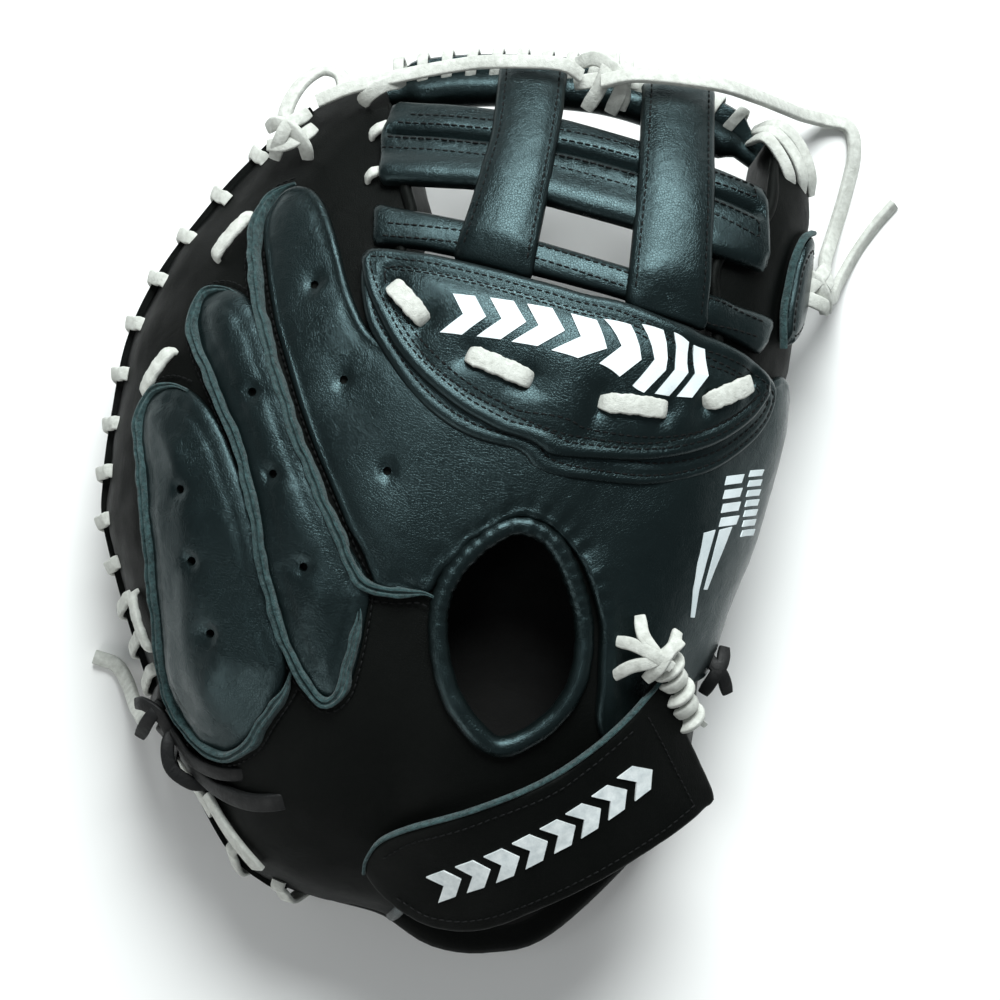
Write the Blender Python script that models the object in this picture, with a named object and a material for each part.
"""A catcher's mitt lying palm down: +Y runs from heel to web, +X to the thumb side, the back is up.

Two leather halves meet at the break line of the pocket, the web bridges them, and a strap closes the wrist.
The body is a dome about DOME: its outline is a closed spline, and its section (back, rim roll, pocket) is set
at twelve stations, one for each 30 degrees. Sizes are in millimetres here, and add_mesh turns them to metres.
"""

import math

import bpy
import numpy as np
from mathutils import Vector
from mathutils.geometry import delaunay_2d_cdt

MM = 0.001
DOME = np.array([-3.0, -9.0])
TOP = 102.0
REACH = 115.0

# Outer edge of the leather, from the index side of the web round by the thumb, heel and little finger.
OUTLINE = [
    (-47, 132), (-24, 144), (0, 150), (31, 152), (62, 148), (83, 141), (105, 128), (116, 113), (119, 96),
    (115, 76), (109, 34), (97, -12), (82, -54), (77, -94), (66, -114), (31, -146), (11, -152), (-7, -150),
    (-24, -140), (-46, -135), (-65, -128), (-80, -112), (-102, -64), (-117, -13), (-118, 7), (-115, 30),
    (-110, 54), (-100, 75), (-86, 94), (-70, 112),
]
# The back's section at each station: two control shares of the radius, the height of the second,
# then the rim seam's share of the radius and its height.
SHARE_ONE = [0.50, 0.50, 0.50, 0.50, 0.48, 0.46, 0.46, 0.46, 0.48, 0.50, 0.50, 0.50]
SHARE_TWO = [1.18, 1.12, 0.97, 0.92, 0.92, 0.93, 0.94, 0.94, 0.96, 0.98, 1.03, 1.14]
SHOULDER = [88, 82, 72, 66, 70, 78, 84, 84, 84, 84, 84, 86]
SEAM_SHARE = [0.93, 0.95, 1.00, 1.00, 1.00, 1.00, 1.00, 1.00, 1.00, 1.00, 0.97, 0.93]
SEAM_HEIGHT = [24, 27, 38, 44, 40, 38, 38, 37, 36, 38, 32, 25]

LEATHER = 2.5
LINING = 1.5
GAP = 0.8
POCKET_TOP = 55.0
CAVITY_FLOOR = 58.5
LACE_WIDTH = 5.0
LACE_THICK = 2.0
CORD_RADIUS = 1.6

# The break line: the thumb half folds down about it, by up to FOLD degrees.
FOLD_POINT = np.array([64.5, 6.0, 52.0])
FOLD_ALONG = np.array([-0.136, 0.9907, 0.0])
FOLD_ACROSS = np.array([0.9907, 0.136, 0.0])
FOLD = 30.0
# The strap's free end lifts about its sewn right edge.
STRAP_HINGE = (np.array([69.0, -59.0, 88.0]), np.array([83.0, -96.0, 72.0]))

WEB_NOTCH = [
    (-22, 175), (-22, 131), (-16, 101), (-14, 92), (-17, 78), (-5, 64), (21, 58), (46, 51), (72, 42),
    (84, 50), (84, 76), (101, 92), (105, 110), (109, 128), (114, 175),
]
WRIST_OPENING = [
    (-22, -140), (-8, -123), (21, -113), (47, -100), (63, -94), (80, -94), (105, -120), (60, -175), (-22, -175),
]
HAND_HOLE = [
    (19, -8), (8, -14), (-1, -24), (-5, -36), (-4, -52), (1, -66), (12, -78), (23, -76), (34, -67),
    (40, -55), (41, -38), (36, -21), (29, -11),
]
STRAP = [
    (-29, -117), (-24, -110), (-14, -105), (5, -99), (27, -90), (43, -80), (56, -69), (67, -57), (75, -75),
    (84, -96), (80, -101), (65, -112), (47, -122), (29, -131), (10, -139), (-7, -139), (-20, -132), (-28, -124),
]
# Heights that the strap passes through, as it bridges the wrist opening.
STRAP_POINTS = [
    (-27, -117, 83), (-20, -132, 72), (5, -99, 98), (10, -139, 80), (29, -110, 95), (29, -131, 87),
    (56, -69, 95), (67, -57, 90), (60, -95, 90), (75, -74, 82), (84, -96, 72), (65, -112, 82),
]
LOOP_PATCH = [(-22, -121), (-18, -113), (-6, -109), (10, -104), (14, -111), (2, -118), (-8, -124), (-18, -128)]
HOOK_PATCH = [(-24, -120), (-20, -113), (-8, -107), (12, -100), (18, -113), (2, -126), (-10, -131), (-20, -127)]

PINKY_STALL = [
    (-97, 32), (-90, 33), (-84, 29), (-78, 22), (-72, 6), (-67, -14), (-62, -36), (-58, -50), (-60, -57),
    (-63, -67), (-69, -75), (-76, -78), (-84, -71), (-90, -60), (-92, -43), (-94, -20), (-96, 3), (-99, 22),
]
RING_STALL = [
    (-81, 62), (-74, 65), (-68, 60), (-62, 46), (-56, 26), (-48, 4), (-39, -14), (-32, -27), (-31, -37),
    (-33, -48), (-36, -58), (-41, -60), (-45, -55), (-49, -45), (-53, -34), (-57, -17), (-60, 0), (-65, 19),
    (-73, 37), (-80, 52),
]
BACK_PANEL = [
    (-25, -25), (-33, -9), (-40, 7), (-47, 24), (-53, 42), (-58, 58), (-61, 75), (-62, 90), (-56, 100),
    (-49, 102), (-43, 97), (-38, 84), (-34, 66), (-26, 45), (-13, 27), (4, 14), (24, 6), (43, 1), (60, 0),
    (64, -2), (69, -30), (70, -48), (62, -66), (50, -78), (45, -70), (47, -52), (47, -36), (43, -20), (34, -4),
    (20, -1), (5, -8), (-7, -20), (-11, -27), (-18, -28),
]
THUMB_PANEL = [
    (66, 0), (80, 2), (92, 9), (102, 20), (106, 30), (100, 12), (93, -8), (88, -24), (82, -42), (78, -56),
    (76, -52), (72, -34),
]
THUMB_COVER = [(103, 62), (105, 70), (108, 79), (112, 84), (114, 80), (113, 72), (109, 63)]
CRESCENT_BASE = [
    (-27, 77), (-2, 72), (27, 66), (59, 56), (90, 45), (101, 38), (99, 27), (91, 17), (79, 9), (62, 5),
    (43, 6), (24, 11), (7, 19), (-9, 29), (-20, 43), (-28, 59),
]
CRESCENT_FACING = [
    (-27, 78), (-11, 77), (8, 73), (27, 68), (46, 63), (66, 57), (82, 51), (94, 44), (98, 38), (95, 31),
    (89, 24), (78, 17), (62, 13), (43, 13), (24, 18), (7, 25), (-7, 35), (-17, 46), (-24, 59), (-28, 70),
]
LOW_BAR = [
    (-26, 95), (4, 89), (28, 82), (55, 74), (81, 66), (102, 59), (98, 47), (82, 54), (66, 60), (46, 66),
    (27, 71), (8, 76), (-11, 80), (-26, 82),
]
MID_BAR = [
    (-20, 130), (11, 127), (36, 123), (59, 116), (84, 107), (101, 100), (100, 84), (98, 74), (82, 78), (56, 87),
    (31, 94), (6, 100), (-24, 102), (-24, 118),
]
LEFT_POST = [(15, 142), (36, 142), (35, 127), (32, 103), (27, 76), (3, 82), (7, 98), (12, 130)]
RIGHT_POST = [(61, 135), (83, 133), (84, 102), (82, 62), (55, 69), (58, 97)]
TOP_LACE = [
    (-46, 132, 60), (-34, 136.5, 62), (-14, 141, 62), (3, 143.5, 65), (12, 143.5, 70), (24, 143, 73),
    (35, 142, 74), (41, 139, 70),
]
TOP_BAR = [
    (-19, 138, 46), (0, 140, 48), (21, 140, 49), (48, 138, 50), (68, 133, 50), (86, 126, 50), (101, 116, 50),
]

# The raw outer seams of the finger stalls.
PINKY_OUTSEAM = [
    (-99, 29), (-102, 20), (-100, 2), (-98, -20), (-96, -44), (-94, -62), (-87, -75), (-76, -83), (-66, -79),
    (-60, -70), (-53, -60),
]
RING_OUTSEAM = [
    (-84, 63), (-84, 52), (-77, 36), (-69, 18), (-64, 0), (-61, -17), (-57, -35), (-53, -47), (-48, -57),
]
INDEX_OUTSEAM = [(-65, 84), (-65, 75), (-62, 58), (-57, 41), (-51, 23), (-44, 6), (-37, -10), (-28, -25)]

CRESCENT_LACES = [((-18, 65), (-10, 55)), ((7, 43), (23, 36)), ((46, 31), (65, 28)), ((79, 32), (89, 37))]
FINGER_LACES = [((-66, 94), (-79, 79)), ((-92, 49), (-102, 34)), ((-106, -30), (-100, -50))]
PINKY_TIE = [(-90, -84), (-84, -90), (-76, -95), (-66, -98), (-54, -98)]

# The free laces. Their far stretches lie on the surface under the mitt.
DROP_LACE = [
    (48, 137, 70), (60, 138.5, 74), (84, 136, 73), (99, 134, 58), (111, 133.5, 34), (119, 133.5, 16),
    (128, 133, 5), (137, 131, 2), (139, 122, 2), (136, 108, 2), (131, 92, 4), (127, 82, 16), (126, 75, 34),
    (124, 72, 41),
]
THUMB_TAIL_LACE = [(124, 68, 40), (129, 70, 24), (133, 76, 7), (139, 86, 2), (146, 96, 2), (153, 104, 2)]
INDEX_LOOP_LACE = [
    (-57, 125, 63), (-55, 132, 60), (-51, 139, 55), (-45, 143.5, 51), (-39, 142, 52), (-37, 136.5, 56),
]
PINKY_TAIL_LACE = [(-105, -74, 46), (-110, -70, 30), (-115, -64, 11), (-120, -58, 3), (-128, -55, 2)]


# ---- the dome's surface ------------------------------------------------------------------------------------


def turn(points, step):
    """Catmull-Rom through a closed list of points, with a value each step along the list."""
    points = np.asarray(points, float)
    step = np.asarray(step, float)
    whole = np.floor(step).astype(int)
    part = step - whole
    part = part.reshape(part.shape + (1,) * (points.ndim - 1))
    before, start, end, after = (points[(whole + shift) % len(points)] for shift in (-1, 0, 1, 2))
    return start + 0.5 * part * (
        end - before + part * (2 * before - 5 * start + 4 * end - after + part * (3 * (start - end) + after - before))
    )


def station(values, angle):
    return turn(values, np.degrees(angle) % 360 / 30)


OUTLINE_FINE = turn(OUTLINE, np.linspace(0, len(OUTLINE), 1440, endpoint=False)) - DOME
OUTLINE_ANGLES = np.arctan2(OUTLINE_FINE[:, 1], OUTLINE_FINE[:, 0])
OUTLINE_RADII = np.hypot(OUTLINE_FINE[:, 0], OUTLINE_FINE[:, 1])


def radius(angle):
    return np.interp(angle, OUTLINE_ANGLES, OUTLINE_RADII, period=2 * math.pi)


def bezier(t, a, b, c, d):
    return (1 - t) ** 3 * a + 3 * (1 - t) ** 2 * t * b + 3 * (1 - t) * t * t * c + t**3 * d


def back_share(angle, t):
    """Share of the outline's radius at t, which runs from 0 at the dome's centre to 1 at the rim seam."""
    one, two, seam = (station(values, angle) for values in (SHARE_ONE, SHARE_TWO, SEAM_SHARE))
    widest = max_share(one, two, seam)
    return bezier(t, 0, one, two, seam) / widest


def max_share(one, two, seam):
    spots = np.linspace(0, 1, 41).reshape((-1,) + (1,) * np.ndim(one))
    return bezier(spots, 0, one, two, seam).max(0)


def seam_radius(angle):
    return radius(angle) * back_share(angle, np.ones_like(angle))


def back_point(angle, t):
    far = radius(angle) * back_share(angle, t)
    height = bezier(t, TOP, TOP, station(SHOULDER, angle), station(SEAM_HEIGHT, angle))
    return polar(angle, far, height)


def polar(angle, far, height):
    return np.stack([DOME[0] + far * np.cos(angle), DOME[1] + far * np.sin(angle), height + 0 * far], -1)


def palm_point(angle, s):
    """The palm side, from 0 at the rim seam by the rim's resting band to 1 at the pocket's centre."""
    edge = seam_radius(angle)
    seam = station(SEAM_HEIGHT, angle)
    fars = [
        edge, edge - 0.5, edge - 4.5, edge - 13, edge - 21, edge - 31, edge - 39, edge * 0.5, edge * 0.25, 0 * edge,
    ]
    heights = [seam - 2 * GAP, seam * 0.62, seam * 0.25, 0, 0, 5, 15, 38, 50, POCKET_TOP]
    heights = [height + 0 * edge for height in heights]
    knots = np.linspace(0, 1, len(fars))
    far = np.zeros_like(edge)
    height = np.zeros_like(edge)
    for index, (low, high) in enumerate(zip(knots, knots[1:])):
        inside = (s >= low) & (s <= high)
        share = (s - low) / (high - low)
        far = np.where(inside, fars[index] * (1 - share) + fars[index + 1] * share, far)
        height = np.where(inside, heights[index] * (1 - share) + heights[index + 1] * share, height)
    return polar(angle, far, height)


def lifted(surface, angle, t, lift):
    """A point on a surface, moved along its outward normal."""
    angle, t, lift = np.broadcast_arrays(np.asarray(angle, float), np.asarray(t, float), np.asarray(lift, float))
    small = 1e-3
    near = np.clip(t, 0.02, 0.999)
    round_it = surface(angle + small, near) - surface(angle - small, near)
    outward = surface(angle, near + small) - surface(angle, near - small)
    normal = np.cross(outward, round_it)
    normal /= np.linalg.norm(normal, axis=-1, keepdims=True)
    return surface(angle, t) + normal * lift[..., None], normal


def spot(points):
    """Angle and t of the back's surface under each (x, y)."""
    points = np.asarray(points, float)[:, :2] - DOME
    angle = np.arctan2(points[:, 1], points[:, 0])
    share = np.hypot(points[:, 0], points[:, 1]) / radius(angle)
    steps = np.linspace(0, 1, 161)
    shares = back_share(angle[:, None], steps[None, :])
    t = []
    for one, row in zip(share, shares):
        rise = slice(row.argmax() + 1)
        t.append(np.interp(min(one, row.max()), row[rise], steps[rise]))
    return angle, np.array(t)


def on_back(points, lift):
    """Points on the back at each (x, y), and their normals."""
    return lifted(back_point, *spot(points), lift)


# ---- meshes ------------------------------------------------------------------------------------------------


def material(name, colour, roughness):
    made = bpy.data.materials.new(name)
    made.use_nodes = True
    shader = made.node_tree.nodes["Principled BSDF"]
    shader.inputs["Base Color"].default_value = (*colour, 1)
    shader.inputs["Roughness"].default_value = roughness
    made.diffuse_color = (*colour, 1)
    return made


FINISHES = {
    "black_leather": ((0.018, 0.02, 0.022), 0.4),
    "matte_leather": ((0.012, 0.01, 0.009), 0.6),
    "lining_leather": ((0.03, 0.028, 0.026), 0.7),
    "edge_leather": ((0.05, 0.075, 0.08), 0.8),
    "white_lace": ((0.8, 0.79, 0.74), 0.6),
    "black_lace": ((0.02, 0.02, 0.02), 0.6),
    "felt": ((0.35, 0.33, 0.3), 0.95),
    "hook_tape": ((0.01, 0.01, 0.01), 0.8),
}


def faced_out(points, faces):
    """The faces, turned round together if they enclose a negative volume."""
    points = np.asarray(points, float)
    volume = 0.0
    for face in faces:
        for one, two in zip(face[1:], face[2:]):
            volume += np.dot(points[face[0]], np.cross(points[one], points[two]))
    return faces if volume > 0 else [tuple(face)[::-1] for face in faces]


def add_mesh(name, points, faces, finish, pivot=None):
    faces = faced_out(points, faces)
    mesh = bpy.data.meshes.new(name)
    places = [tuple(point * MM) for point in np.asarray(points, float)]
    mesh.from_pydata(places, [], [tuple(face) for face in faces])
    mesh.shade_smooth()
    mesh.set_sharp_from_angle(angle=math.radians(40))
    thing = bpy.data.objects.new(name, mesh)
    bpy.context.scene.collection.objects.link(thing)
    mesh.materials.append(material(name, *FINISHES[finish]))
    if pivot:
        mesh.transform(pivot.matrix_world.inverted())
        thing.parent = pivot
    return thing


def pivot_empty(name, place):
    empty = bpy.data.objects.new(name, None)
    bpy.context.scene.collection.objects.link(empty)
    empty.location = Vector(place) * MM
    bpy.context.view_layer.update()
    return empty


def loft(rings, closed):
    """Faces between rings of points, rings x points x 3. An open loft is capped at both ends."""
    rings = np.asarray(rings)
    count, wide = rings.shape[:2]
    faces = []
    for row in range(count if closed else count - 1):
        for column in range(wide):
            a = row * wide + column
            b = row * wide + (column + 1) % wide
            c = (row + 1) % count * wide + (column + 1) % wide
            d = (row + 1) % count * wide + column
            faces.append((a, b, c, d))
    if not closed:
        faces.append(tuple(range(wide))[::-1])
        faces.append(tuple((count - 1) * wide + column for column in range(wide)))
    return rings.reshape(-1, 3), faces


def dished(outer, inner):
    """A closed skin between two dishes, each given as angles x steps x 3 with its centre at step 0."""
    angles = len(outer)
    steps = outer.shape[1] - 1
    back = inner.shape[1] - 1
    sides = np.concatenate([outer[:, 1:], inner[:, :0:-1]], 1)
    wide = steps + back
    faces = []
    for row in range(angles):
        after = (row + 1) % angles
        for column in range(wide - 1):
            here, there = row * wide + column, after * wide + column
            faces.append((here, here + 1, there + 1, there))
        faces.append((angles * wide, row * wide, after * wide))
        faces.append((angles * wide + 1, after * wide + wide - 1, row * wide + wide - 1))
    points = np.concatenate([sides.reshape(-1, 3), outer[:1, 0], inner[:1, 0]])
    return points, faces


def resample(points, step, closed):
    """Evenly spaced points on a smooth curve through the given ones."""
    points = np.asarray(points, float)
    if closed:
        fine = turn(points, np.linspace(0, len(points), len(points) * 12 + 1))
    else:
        ends = [2 * points[0] - points[1], *points, 2 * points[-1] - points[-2]]
        fine = turn(ends, np.linspace(1, len(ends) - 2 - 1e-9, (len(points) - 1) * 12 + 1))
    run = np.concatenate([[0], np.cumsum(np.linalg.norm(np.diff(fine, axis=0), axis=1))])
    count = max(2, round(run[-1] / step))
    where = np.linspace(0, run[-1], count + 1)
    even = np.stack([np.interp(where, run, fine[:, axis]) for axis in range(fine.shape[1])], 1)
    return even[:-1] if closed else even


def panel(name, outline, low, high, finish, pivot=None, bulge=0.0, edge=12.0, step=9.0, surface=None):
    """A sheet on the dome's back between two lifts, crowned by bulge away from its edges."""
    edge_points = resample(outline, step, closed=True)
    angle, t = spot(edge_points)
    loop = np.stack([np.cos(angle), np.sin(angle)], 1) * t[:, None] * REACH
    low_corner, high_corner = loop.min(0), loop.max(0)
    grid = [
        (x + (row % 2) * step / 2, y)
        for row, y in enumerate(np.arange(low_corner[1], high_corner[1], step * 0.87))
        for x in np.arange(low_corner[0], high_corner[0], step)
    ]
    inner = [point for point in grid if inside(point, loop) and distance(point, loop) > 0.55 * step]
    flat_points = [Vector(point) for point in [*loop, *inner]]
    count = len(loop)
    edges = [(index, (index + 1) % count) for index in range(count)]
    verts, _, triangles, *_ = delaunay_2d_cdt(flat_points, edges, [], 1, 1e-5)
    flat = np.array([tuple(vert) for vert in verts])
    depth = np.array([distance(point, loop) for point in flat])
    crown = bulge * np.sin(np.clip(depth / edge, 0, 1) * math.pi / 2)
    if surface is None:
        angles = np.arctan2(flat[:, 1], flat[:, 0])
        reach = np.hypot(flat[:, 0], flat[:, 1]) / REACH
        top, _ = lifted(back_point, angles, reach, high + crown)
        bottom, _ = lifted(back_point, angles, reach, low)
    else:
        top, bottom = surface(flat, high + crown), surface(flat, low)
    return skin_between(name, top, bottom, triangles, finish, pivot)


def skin_between(name, top, bottom, triangles, finish, pivot):
    count = len(top)
    owners = {}
    for triangle in triangles:
        for one, two in zip(triangle, [*triangle[1:], triangle[0]]):
            owners[(one, two)] = True
    faces = [tuple(triangle) for triangle in triangles]
    faces += [tuple(count + index for index in triangle[::-1]) for triangle in triangles]
    for one, two in owners:
        if (two, one) not in owners:
            faces.append((one, count + one, count + two, two))
    return add_mesh(name, np.concatenate([top, bottom]), faces, finish, pivot)


def inside(point, loop):
    x, y = point
    ahead = np.roll(loop, -1, 0)
    crosses = (loop[:, 1] > y) != (ahead[:, 1] > y)
    rise = np.where(crosses, ahead[:, 1] - loop[:, 1], 1)
    return bool((crosses & (x < loop[:, 0] + (y - loop[:, 1]) / rise * (ahead[:, 0] - loop[:, 0]))).sum() % 2)


def distance(point, loop):
    ahead = np.roll(loop, -1, 0) - loop
    away = np.asarray(point) - loop
    share = np.clip((away * ahead).sum(1) / (ahead**2).sum(1), 0, 1)
    return np.linalg.norm(away - share[:, None] * ahead, axis=1).min()


def ribbon(name, path, normals, width, thick, finish, pivot=None, closed=False):
    """A flat strip along a path, with its broad faces square to the normals."""
    path, normals = np.asarray(path, float), np.asarray(normals, float)
    along = np.gradient(path, axis=0) if not closed else np.roll(path, -1, 0) - np.roll(path, 1, 0)
    along /= np.linalg.norm(along, axis=1, keepdims=True)
    side = np.cross(along, normals)
    side /= np.linalg.norm(side, axis=1, keepdims=True)
    face = np.cross(side, along)
    corners = [(-1, -1), (1, -1), (1, 1), (-1, 1)]
    rings = np.stack([path + side * width / 2 * a + face * thick / 2 * b for a, b in corners], 1)
    return add_mesh(name, *loft(rings, closed), finish, pivot)


def surface_ribbon(name, outline, lift, width, thick, finish, pivot=None, step=7.0, closed=False):
    path = resample(outline, step, closed)
    points, normals = on_back(path, lift)
    return ribbon(name, points, normals, width, thick, finish, pivot, closed)


def tube(name, path, size, finish, pivot=None, closed=False, sides=8):
    """A round or oval tube along a path. Size is (across, high)."""
    path = np.asarray(path, float)
    along = np.gradient(path, axis=0) if not closed else np.roll(path, -1, 0) - np.roll(path, 1, 0)
    along /= np.linalg.norm(along, axis=1, keepdims=True)
    side = np.cross(along, [0, 0, 1])
    side /= np.linalg.norm(side, axis=1, keepdims=True)
    up = np.cross(side, along)
    turns = np.linspace(0, 2 * math.pi, sides, endpoint=False)
    rings = np.stack([path + side * size[0] / 2 * math.cos(a) + up * size[1] / 2 * math.sin(a) for a in turns], 1)
    return add_mesh(name, *loft(rings, closed), finish, pivot)


def knot(name, place, size, finish, pivot=None):
    """A rounded lump of lace."""
    rows, columns = 6, 10
    rings = []
    for row in range(1, rows):
        lean = math.pi * row / rows
        around = np.linspace(0, 2 * math.pi, columns, endpoint=False)
        wide = math.sin(lean)
        rings.append(np.stack([wide * np.cos(around), wide * np.sin(around), 0 * around - math.cos(lean)], 1))
    points, faces = loft(np.array(rings), closed=False)
    return add_mesh(name, points * np.array(size) / 2 + np.array(place), faces, finish, pivot)


def cord(name, route, finish="white_lace"):
    """A free lace: a round tube on a smooth curve through the route."""
    path = resample(route, 6.0, closed=False)
    curve = bpy.data.curves.new(name, "CURVE")
    curve.dimensions = "3D"
    curve.bevel_depth = CORD_RADIUS * MM
    curve.bevel_resolution = 2
    curve.use_fill_caps = True
    spline = curve.splines.new("POLY")
    spline.points.add(len(path) - 1)
    for point, place in zip(spline.points, path):
        point.co = (*(place * MM), 1)
    thing = bpy.data.objects.new(name, curve)
    bpy.context.scene.collection.objects.link(thing)
    curve.materials.append(material(name, *FINISHES[finish]))
    return thing


# ---- cutters -----------------------------------------------------------------------------------------------


def prism(name, outline, low=-20.0, high=130.0):
    points = [(x, y, low) for x, y in outline] + [(x, y, high) for x, y in outline]
    count = len(outline)
    faces = [tuple(range(count))[::-1], tuple(range(count, 2 * count))]
    faces += [(index, (index + 1) % count, count + (index + 1) % count, count + index) for index in range(count)]
    return cutter(name, points, faces)


def cutter(name, points, faces):
    thing = add_mesh(name, points, faces, "felt")
    thing.hide_render = True
    thing.display_type = "WIRE"
    return thing


def fold_side(name, side):
    """Everything on one side of the break line, with room below the axis for half of the fold."""
    spread = math.tan(math.radians(FOLD / 2 + 1.5))
    start = -side * GAP / 2
    low = -30 - FOLD_POINT[2]
    section = [(start, 100), (side * 400, 100), (side * 400, low), (start + side * low * spread, low), (start, 0)]
    rings = []
    for far in (-400, 400):
        middle = FOLD_POINT + FOLD_ALONG * far
        rings.append([middle + FOLD_ACROSS * across + np.array([0, 0, up]) for across, up in section])
    points, faces = loft(np.array(rings), closed=False)
    return cutter(name, points, faces)


def cut(thing, *cutters):
    for tool in cutters:
        modifier = thing.modifiers.new(tool.name, "BOOLEAN")
        modifier.operation = "DIFFERENCE"
        modifier.solver = "EXACT"
        modifier.object = tool
    return thing


def grown(outline, by):
    """The outline moved outwards from its middle."""
    points = resample(outline, 7.0, closed=True)
    middle = points.mean(0)
    away = points - middle
    return [tuple(point) for point in points + away / np.linalg.norm(away, axis=1, keepdims=True) * by]


# ---- leather shells ----------------------------------------------------------------------------------------


ANGLES = np.linspace(0, 2 * math.pi, 60, endpoint=False)
BACK_STEPS = np.array([0, 0.15, 0.3, 0.43, 0.54, 0.63, 0.71, 0.78, 0.85, 0.91, 0.96, 1.0])
PALM_STEPS = np.linspace(1, 0, 10)


def back_leather(name, pivot=None):
    outer, _ = lifted(back_point, ANGLES[:, None], BACK_STEPS[None, :], 0)
    inner, _ = lifted(back_point, ANGLES[:, None], BACK_STEPS[None, :], -LEATHER)
    points, faces = dished(outer, inner)
    return add_mesh(name, points, faces, "black_leather", pivot)


def palm_leather(name, pivot=None):
    outer, _ = lifted(palm_point, ANGLES[:, None], PALM_STEPS[None, :], 0)
    inner, _ = lifted(palm_point, ANGLES[:, None], PALM_STEPS[None, :], -LEATHER)
    inner[:, -1, 2] = outer[:, -1, 2]
    points, faces = dished(outer, inner)
    return add_mesh(name, points, faces, "matte_leather", pivot)


def wristward(angle):
    """1 where the hand goes in at the heel, 0 elsewhere, with soft sides."""
    degrees = np.degrees(angle) % 360
    return np.clip((degrees - 244) / 20, 0, 1) * np.clip((334 - degrees) / 26, 0, 1)


def lining_under(angle, q):
    """Underside of the palm lining, from the pocket's centre (0) to where it meets the back or the heel (1)."""
    edge = seam_radius(angle)
    seam = station(SEAM_HEIGHT, angle)
    open_share = wristward(angle)
    _, t = spot(polar(angle, 0.77 * edge, 0 * edge).reshape(-1, 3))
    closed_height = back_point(angle.ravel(), t)[:, 2].reshape(edge.shape) - LEATHER - LINING - 2.4
    end = (
        0.77 * edge * (1 - open_share) + (edge - 8) * open_share,
        closed_height * (1 - open_share) + (seam + 2) * open_share,
    )
    bend = (edge * (0.72 + 0.08 * open_share), 54 - 4 * open_share)
    inner = [(0 * edge, CAVITY_FLOOR), (0.25 * edge, 54.0), (0.5 * edge, 53.0)]
    share = np.clip((q - 0.4) / 0.6, 0, 1)
    far = bezier(share, inner[2][0], (inner[2][0] + bend[0]) / 2, bend[0], end[0])
    height = bezier(share, inner[2][1], (inner[2][1] + bend[1]) / 2, bend[1], end[1])
    for index, (low, high) in enumerate([(0, 0.2), (0.2, 0.4)]):
        here = (q >= low) & (q < high)
        part = (q - low) / (high - low)
        far = np.where(here, inner[index][0] * (1 - part) + inner[index + 1][0] * part, far)
        height = np.where(here, inner[index][1] * (1 - part) + inner[index + 1][1] * part, height)
    return polar(angle, far, height)


LINING_STEPS = np.array([0, 0.2, 0.4, 0.55, 0.7, 0.85, 1.0])


def palm_lining(name, pivot=None):
    angle, q = np.broadcast_arrays(ANGLES[:, None], LINING_STEPS[None, :])
    under = lining_under(angle, q)
    _, normal = lifted(lining_under, angle, np.clip(q, 0.05, 0.99), 0)
    over = under + normal * LINING
    over[:, 0] = under[:, 0] + [0, 0, LINING]
    points, faces = dished(over, under)
    return add_mesh(name, points, faces, "lining_leather", pivot)


def palm_pad(name, pivot=None):
    """The donut of padding between palm leather, lining and back."""
    open_share = wristward(ANGLES)[:, None, None]
    lower, _ = lifted(palm_point, ANGLES[:, None], PALM_STEPS[None, 2:-1], -LEATHER - 1.5 * GAP)
    steps = LINING_STEPS[2:]
    angle, q = np.broadcast_arrays(ANGLES[:, None], steps[None, :])
    upper, normal = lifted(lining_under, angle, np.clip(q, 0.42, 0.99), 0)
    upper = lining_under(angle, q) - normal * 3 * GAP
    _, start = spot(polar(ANGLES, 0.83 * seam_radius(ANGLES), 0 * ANGLES))
    shares = np.array([0.0, 0.35, 0.65, 0.85, 1.0])
    t = start[:, None] + (0.985 - start[:, None]) * shares[None, :]
    under_back, _ = lifted(back_point, ANGLES[:, None], t, -LEATHER - GAP * (1 + 1.2 * shares[None, :]))
    edge = seam_radius(ANGLES)
    seam = station(SEAM_HEIGHT, ANGLES)
    heel_far = edge[:, None] - 6 + 1.5 * shares[None, :]
    heel = polar(ANGLES[:, None], heel_far, seam[:, None] - 3 - 6 * shares[None, :])
    rim = under_back * (1 - open_share) + heel * open_share
    rings = np.concatenate([lower, rim[:, ::-1], upper[:, ::-1]], 1)
    points, faces = loft(rings, closed=True)
    return add_mesh(name, points, faces, "felt", pivot)


def halves(thumb_pivot):
    notch = prism("cut_web_notch", WEB_NOTCH)
    hole = prism("cut_hand_hole", grown(HAND_HOLE, 3.6), 70, 130)
    wrist = prism("cut_wrist_opening", WRIST_OPENING, 41, 130)
    off_hand = fold_side("cut_thumb_side", 1)
    off_thumb = fold_side("cut_hand_side", -1)
    for make, hand_name, thumb_name, cuts in (
        (back_leather, "back_leather", "thumb_back_leather", (notch, hole, wrist)),
        (palm_leather, "palm_leather", "thumb_palm_leather", (notch,)),
        (palm_lining, "palm_lining", "thumb_lining", (notch,)),
        (palm_pad, "palm_pad", "thumb_pad", (notch,)),
    ):
        cut(make(hand_name), *cuts, off_hand)
        cut(make(thumb_name, thumb_pivot), *cuts, off_thumb)


# ---- pieces on the back ------------------------------------------------------------------------------------


def stalls():
    panel("pinky_stall", PINKY_STALL, GAP, 3.0, "black_leather", bulge=4.0)
    panel("ring_stall", RING_STALL, GAP, 3.0, "black_leather", bulge=4.0)
    panel("back_panel", BACK_PANEL, GAP, 3.0, "black_leather", step=10.0)
    for finger, seam in (("pinky", PINKY_OUTSEAM), ("ring", RING_OUTSEAM), ("index", INDEX_OUTSEAM)):
        surface_ribbon(f"{finger}_outseam", seam, 2.6, 2.6, 3.6, "edge_leather")


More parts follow.
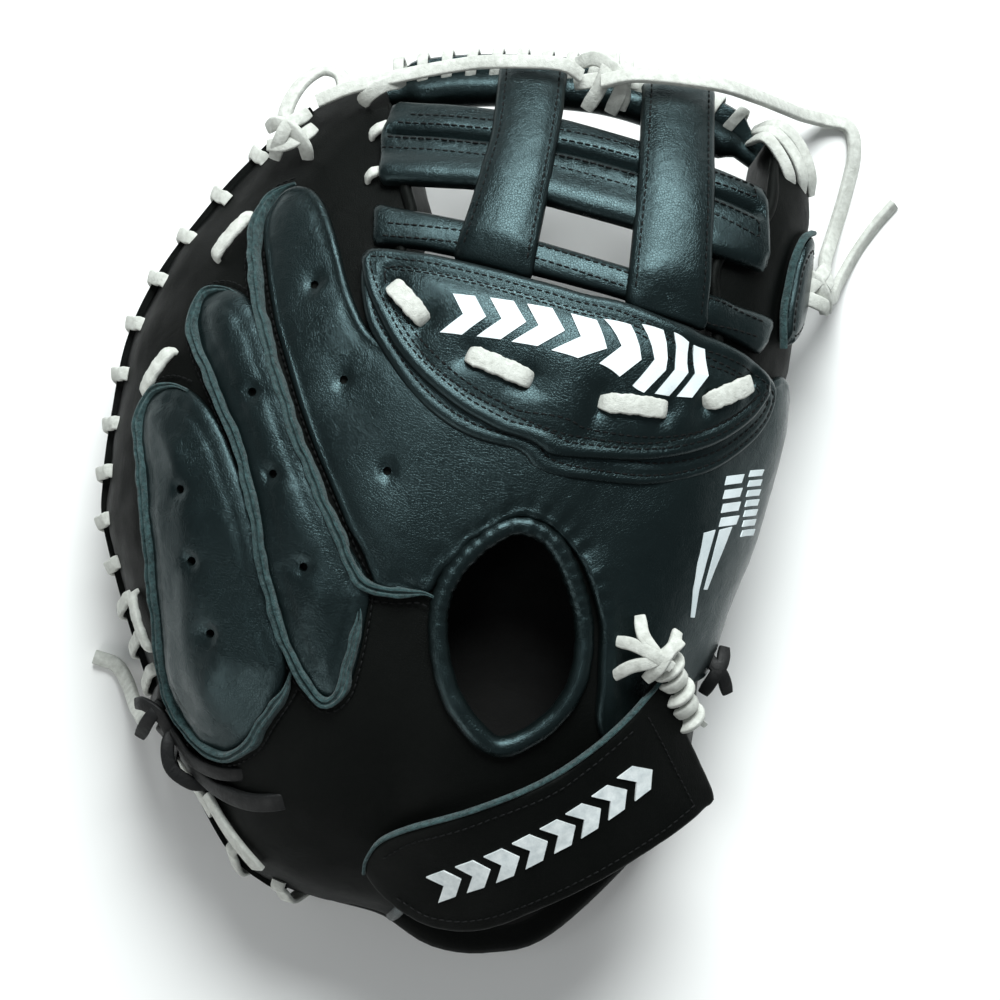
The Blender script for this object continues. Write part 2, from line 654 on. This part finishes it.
def hand_opening():
    path, _ = on_back(resample(HAND_HOLE, 8.0, closed=True), -0.4)
    tube("hand_opening_binding", path, (5.4, 6.0), "black_leather", closed=True)


def web(pivot):
    panel("crescent_base", CRESCENT_BASE, 3.8, 5.6, "black_leather", pivot)
    panel("crescent_facing", CRESCENT_FACING, 6.4, 8.6, "black_leather", pivot)
    panel("low_bar", LOW_BAR, 1.2, 4.8, "black_leather", pivot)
    panel("mid_bar", MID_BAR, 1.2, 4.8, "black_leather", pivot)
    panel("left_post", LEFT_POST, 5.8, 9.4, "black_leather", pivot, step=7.0)
    panel("right_post", RIGHT_POST, 5.8, 9.4, "black_leather", pivot, step=7.0)
    tube("top_bar", resample(TOP_BAR, 9.0, closed=False), (15.0, 12.0), "black_leather", pivot)
    for index, run in enumerate(CRESCENT_LACES):
        surface_ribbon(f"crescent_lace_{index + 1}", run, 10.6, LACE_WIDTH, LACE_THICK, "white_lace", pivot, 5.0)


def strap_height(points):
    """Height of the strap's middle over each (x, y): a smooth sheet through STRAP_POINTS."""
    def terms(x, y):
        return np.stack([1 + 0 * x, x, y, x * x, x * y, y * y], -1)
    known = np.array(STRAP_POINTS, float)
    fit = np.linalg.lstsq(terms(known[:, 0], known[:, 1]), known[:, 2], rcond=None)[0]
    points = np.asarray(points, float)
    return terms(points[..., 0], points[..., 1]) @ fit


def strap_panel(name, outline, low, high, finish, pivot, step=9.0):
    """A sheet parallel to the strap's middle, between two heights above it."""
    loop = resample(outline, step, closed=True)
    low_corner, high_corner = loop.min(0), loop.max(0)
    columns, rows = (np.arange(low_corner[axis], high_corner[axis], step) for axis in (0, 1))
    grid = [(x, y) for x in columns for y in rows]
    inner = [point for point in grid if inside(point, loop) and distance(point, loop) > 0.55 * step]
    count = len(loop)
    edges = [(index, (index + 1) % count) for index in range(count)]
    verts, _, triangles, *_ = delaunay_2d_cdt([Vector(point) for point in [*loop, *inner]], edges, [], 1, 1e-5)
    flat = np.array([tuple(vert) for vert in verts])
    height = strap_height(flat)[:, None]
    top = np.concatenate([flat, height + high], 1)
    bottom = np.concatenate([flat, height + low], 1)
    return skin_between(name, top, bottom, triangles, finish, pivot)


def wrist_strap(pivot):
    strap_panel("wrist_strap", STRAP, -1.3, 1.3, "black_leather", pivot)
    strap_panel("strap_hook_patch", HOOK_PATCH, -3.2, -1.9, "hook_tape", pivot)
    panel("strap_loop_patch", LOOP_PATCH, GAP, 1.8, "felt")


def rim_whip(name, first, last, count, pivot=None):
    """A lace whipped over the rim: it climbs from the palm side to the back and down again, count times."""
    path, normals = [], []
    turns = np.radians(np.linspace(first, last, count * 2 + 1))
    lift = GAP + LACE_THICK / 2 + 0.3
    for index, angle in enumerate(turns):
        on_top = index % 2 == 0
        stops = [(back_point, 0.955), (back_point, 0.999), (palm_point, 0.06), (palm_point, 0.14)]
        for share, (surface, t) in zip((-0.3, -0.1, 0.1, 0.3), stops if on_top else stops[::-1]):
            here = angle + share * (turns[1] - turns[0])
            point, normal = lifted(surface, here, t, lift)
            path.append(point)
            normals.append(normal)
    return ribbon(name, path, normals, LACE_WIDTH * 0.8, LACE_THICK, "white_lace", pivot)


def bar_whip(name, pivot):
    """A lace whipped over the outer side of the top bar."""
    line = resample(TOP_BAR, 11.0, closed=False)
    along = np.gradient(line, axis=0)
    outward = np.cross([0, 0, 1], along)
    outward /= np.linalg.norm(outward, axis=1, keepdims=True)
    path, normals = [], []
    for index, (middle, step, out) in enumerate(zip(line[1:-1], along[1:-1], outward[1:-1])):
        leans = np.radians([42, 15, -15, -42])
        for share, lean in zip((-0.25, -0.08, 0.08, 0.25), leans if index % 2 == 0 else leans[::-1]):
            normal = out * math.cos(lean) + np.array([0, 0, math.sin(lean)])
            reach = out * 9.6 * math.cos(lean) + np.array([0, 0, 8.1 * math.sin(lean)])
            path.append(middle + step * share + reach)
            normals.append(normal)
    return ribbon(name, path, normals, LACE_WIDTH * 0.8, LACE_THICK, "white_lace", pivot)


def laces(thumb_pivot, web_pivot):
    rim_whip("rim_lace", 122, 206, 9)
    rim_whip("heel_lace", 222, 252, 3)
    rim_whip("thumb_tip_lace", 39.5, 46, 2, thumb_pivot)
    bar_whip("top_bar_lace", web_pivot)
    top_path = resample(TOP_LACE, 7.0, closed=False)
    upward = np.tile([0, 0, 1.0], (len(top_path), 1))
    ribbon("top_lace", top_path, upward, LACE_WIDTH, LACE_THICK, "white_lace", web_pivot)
    for index, run in enumerate(FINGER_LACES):
        surface_ribbon(f"finger_lace_{index + 1}", run, 2.2, LACE_WIDTH, LACE_THICK, "white_lace", None, 5.0)
    surface_ribbon("pinky_tie", PINKY_TIE, 2.4, 6.0, 2.4, "black_lace")
    knot("pinky_knot", (-101, -73, 52), (11, 10, 9), "black_lace")
    knot("thumb_tie", (86, -57, 57), (8, 13, 9), "black_lace", thumb_pivot)
    knot("index_knot", (-55, 119, 64), (11, 11, 9), "white_lace")
    knot("centre_knot", (48, 137, 63), (14, 16, 9), "white_lace", web_pivot)
    knot("thumb_knot", (120, 70, 46), (9, 11, 10), "white_lace", thumb_pivot)
    knot("wrist_knot", (63, -49, 97), (16, 13, 9), "white_lace")


def free_laces():
    cord("drop_lace", DROP_LACE)
    cord("thumb_tail_lace", THUMB_TAIL_LACE)
    cord("index_loop_lace", INDEX_LOOP_LACE)
    cord("pinky_tail_lace", PINKY_TAIL_LACE)


for thing in list(bpy.data.objects):
    bpy.data.objects.remove(thing)
THUMB_PIVOT = pivot_empty("thumb_pivot", FOLD_POINT)
WEB_PIVOT = pivot_empty("web_pivot", FOLD_POINT)
STRAP_PIVOT = pivot_empty("strap_pivot", sum(STRAP_HINGE) / 2)
halves(THUMB_PIVOT)
stalls()
hand_opening()
panel("thumb_panel", THUMB_PANEL, GAP, 3.0, "black_leather", THUMB_PIVOT)
panel("thumb_stall_cover", THUMB_COVER, GAP, 3.0, "black_leather", THUMB_PIVOT, step=6.0)
web(WEB_PIVOT)
wrist_strap(STRAP_PIVOT)
laces(THUMB_PIVOT, WEB_PIVOT)
free_laces()
